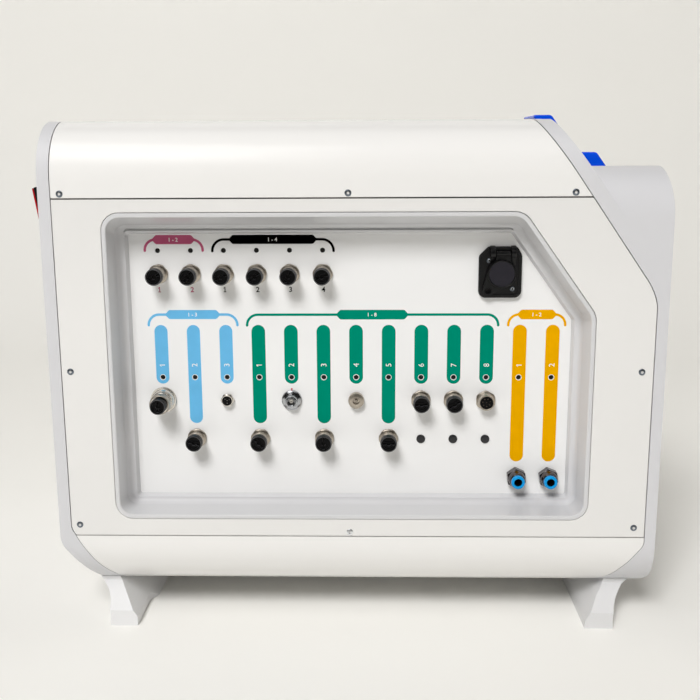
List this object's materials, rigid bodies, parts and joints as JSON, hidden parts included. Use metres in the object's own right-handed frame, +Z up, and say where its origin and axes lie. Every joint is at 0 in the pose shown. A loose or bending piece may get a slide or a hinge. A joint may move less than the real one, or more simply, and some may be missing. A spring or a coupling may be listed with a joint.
{
  "type": "bench bioreactor control unit",
  "caption": "Box-shaped control unit on feet, with rolled edges, sloped front and a recessed side panel of capped round sockets, lamps and gas outlets for a culture vessel.",
  "frame": {"origin": "on the table, under the middle of the whole unit", "axes": "+X towards the sloped front, -Y out of the connector side, +Z up"},
  "size_m": [0.4656, 0.3005, 0.395],
  "materials": {
    "cover_white": "smooth semi-gloss warm white",
    "body_grey": "fine texture, satin light grey",
    "foot_grey": "fine texture, satin light grey",
    "tray_grey": "satin light grey",
    "plate_paint": "fine powder coat, off-white, printed",
    "lamp_board": "satin circuit board with clear lamps",
    "bright_nickel": "polished",
    "satin_nickel": "turned and nickel plated",
    "dark_nickel": "dark nickel plated",
    "cap_black": "moulded, satin",
    "trim_black": "moulded, satin",
    "collet_blue": "moulded, semi-gloss",
    "rocker_red": "moulded, glossy",
    "drive_blue": "moulded, glossy",
    "drive_pale": "moulded, satin",
    "supply_case": "folded sheet"
  },
  "bodies": {
    "base": {"chassis": "body_grey", "top_cover": "cover_white", "bottom_cover": "cover_white", "side_panel_near": "cover_white", "side_panel_far": "cover_white", "front_deck": "body_grey", "drive_body_lower": "drive_pale", "drive_cover_lower": "drive_blue", "drive_body_upper": "drive_pale", "drive_cover_upper": "drive_blue", "foot_left": "foot_grey", "foot_right": "foot_grey", "recess_tray": "tray_grey", "connector_plate": "plate_paint", "led_strip_upper": "lamp_board", "led_strip_lower": "lamp_board", "socket_1_0": "satin_nickel", "socket_1_1": "satin_nickel", "socket_1_2": "satin_nickel", "socket_1_3": "satin_nickel", "socket_1_4": "satin_nickel", "socket_1_5": "satin_nickel", "socket_2_0": "satin_nickel", "socket_2_2": "satin_nickel", "socket_2_4": "bright_nickel", "socket_2_6": "satin_nickel", "socket_2_8": "satin_nickel", "socket_2_9": "satin_nickel", "socket_2_10": "satin_nickel", "socket_3_1": "satin_nickel", "socket_3_3": "satin_nickel", "socket_3_5": "satin_nickel", "socket_3_7": "satin_nickel", "blank_plug_8": "cap_black", "blank_plug_9": "cap_black", "blank_plug_10": "cap_black", "gas_fitting_11": "dark_nickel", "gas_fitting_12": "dark_nickel", "charge_socket": "trim_black", "switch_housing": "trim_black", "mains_inlet": "trim_black", "power_supply": "supply_case"},
    "dust_cap_1_0": {"dust_cap_1_0": "cap_black"},
    "dust_cap_1_1": {"dust_cap_1_1": "cap_black"},
    "dust_cap_1_2": {"dust_cap_1_2": "cap_black"},
    "dust_cap_1_3": {"dust_cap_1_3": "cap_black"},
    "dust_cap_1_4": {"dust_cap_1_4": "cap_black"},
    "dust_cap_1_5": {"dust_cap_1_5": "cap_black"},
    "dust_cap_2_0": {"dust_cap_2_0": "cap_black"},
    "dust_cap_2_8": {"dust_cap_2_8": "cap_black"},
    "dust_cap_2_9": {"dust_cap_2_9": "cap_black"},
    "dust_cap_3_1": {"dust_cap_3_1": "cap_black"},
    "dust_cap_3_3": {"dust_cap_3_3": "cap_black"},
    "dust_cap_3_5": {"dust_cap_3_5": "cap_black"},
    "dust_cap_3_7": {"dust_cap_3_7": "cap_black"},
    "charge_lid": {"charge_lid": "trim_black"},
    "power_rocker": {"power_rocker": "rocker_red"},
    "release_collet_11": {"release_collet_11": "collet_blue"},
    "release_collet_12": {"release_collet_12": "collet_blue"}
  },
  "joints": [
    {"name": "dust_cap_1_0_pull", "type": "slide", "parent": "base", "child": "dust_cap_1_0", "axis": [0, -1, 0], "range_m": [0, 0.012]},
    {"name": "dust_cap_1_1_pull", "type": "slide", "parent": "base", "child": "dust_cap_1_1", "axis": [0, -1, 0], "range_m": [0, 0.012]},
    {"name": "dust_cap_1_2_pull", "type": "slide", "parent": "base", "child": "dust_cap_1_2", "axis": [0, -1, 0], "range_m": [0, 0.012]},
    {"name": "dust_cap_1_3_pull", "type": "slide", "parent": "base", "child": "dust_cap_1_3", "axis": [0, -1, 0], "range_m": [0, 0.012]},
    {"name": "dust_cap_1_4_pull", "type": "slide", "parent": "base", "child": "dust_cap_1_4", "axis": [0, -1, 0], "range_m": [0, 0.012]},
    {"name": "dust_cap_1_5_pull", "type": "slide", "parent": "base", "child": "dust_cap_1_5", "axis": [0, -1, 0], "range_m": [0, 0.012]},
    {"name": "dust_cap_2_0_pull", "type": "slide", "parent": "base", "child": "dust_cap_2_0", "axis": [0, -1, 0], "range_m": [0, 0.012]},
    {"name": "dust_cap_2_8_pull", "type": "slide", "parent": "base", "child": "dust_cap_2_8", "axis": [0, -1, 0], "range_m": [0, 0.012]},
    {"name": "dust_cap_2_9_pull", "type": "slide", "parent": "base", "child": "dust_cap_2_9", "axis": [0, -1, 0], "range_m": [0, 0.012]},
    {"name": "dust_cap_3_1_pull", "type": "slide", "parent": "base", "child": "dust_cap_3_1", "axis": [0, -1, 0], "range_m": [0, 0.012]},
    {"name": "dust_cap_3_3_pull", "type": "slide", "parent": "base", "child": "dust_cap_3_3", "axis": [0, -1, 0], "range_m": [0, 0.012]},
    {"name": "dust_cap_3_5_pull", "type": "slide", "parent": "base", "child": "dust_cap_3_5", "axis": [0, -1, 0], "range_m": [0, 0.012]},
    {"name": "dust_cap_3_7_pull", "type": "slide", "parent": "base", "child": "dust_cap_3_7", "axis": [0, -1, 0], "range_m": [0, 0.012]},
    {"name": "charge_lid_hinge", "type": "hinge", "parent": "base", "child": "charge_lid", "pos_m": [0.115, -0.1264, 0.2906], "axis": [-1, 0, 0], "range_deg": [0, 105], "stiffness_Nm_per_rad": 0.02, "springref_deg": -28.65},
    {"name": "power_rocker_tilt", "type": "hinge", "parent": "base", "child": "power_rocker", "pos_m": [-0.2232, -0.131, 0.328], "axis": [0, 1, 0], "range_deg": [0, 24]},
    {"name": "release_collet_11_push", "type": "slide", "parent": "base", "child": "release_collet_11", "axis": [0, 1, 0], "range_m": [0, 0.0012], "stiffness_N_per_m": 600, "springref_m": -0.001},
    {"name": "release_collet_12_push", "type": "slide", "parent": "base", "child": "release_collet_12", "axis": [0, 1, 0], "range_m": [0, 0.0012], "stiffness_N_per_m": 600, "springref_m": -0.001}
  ]
}
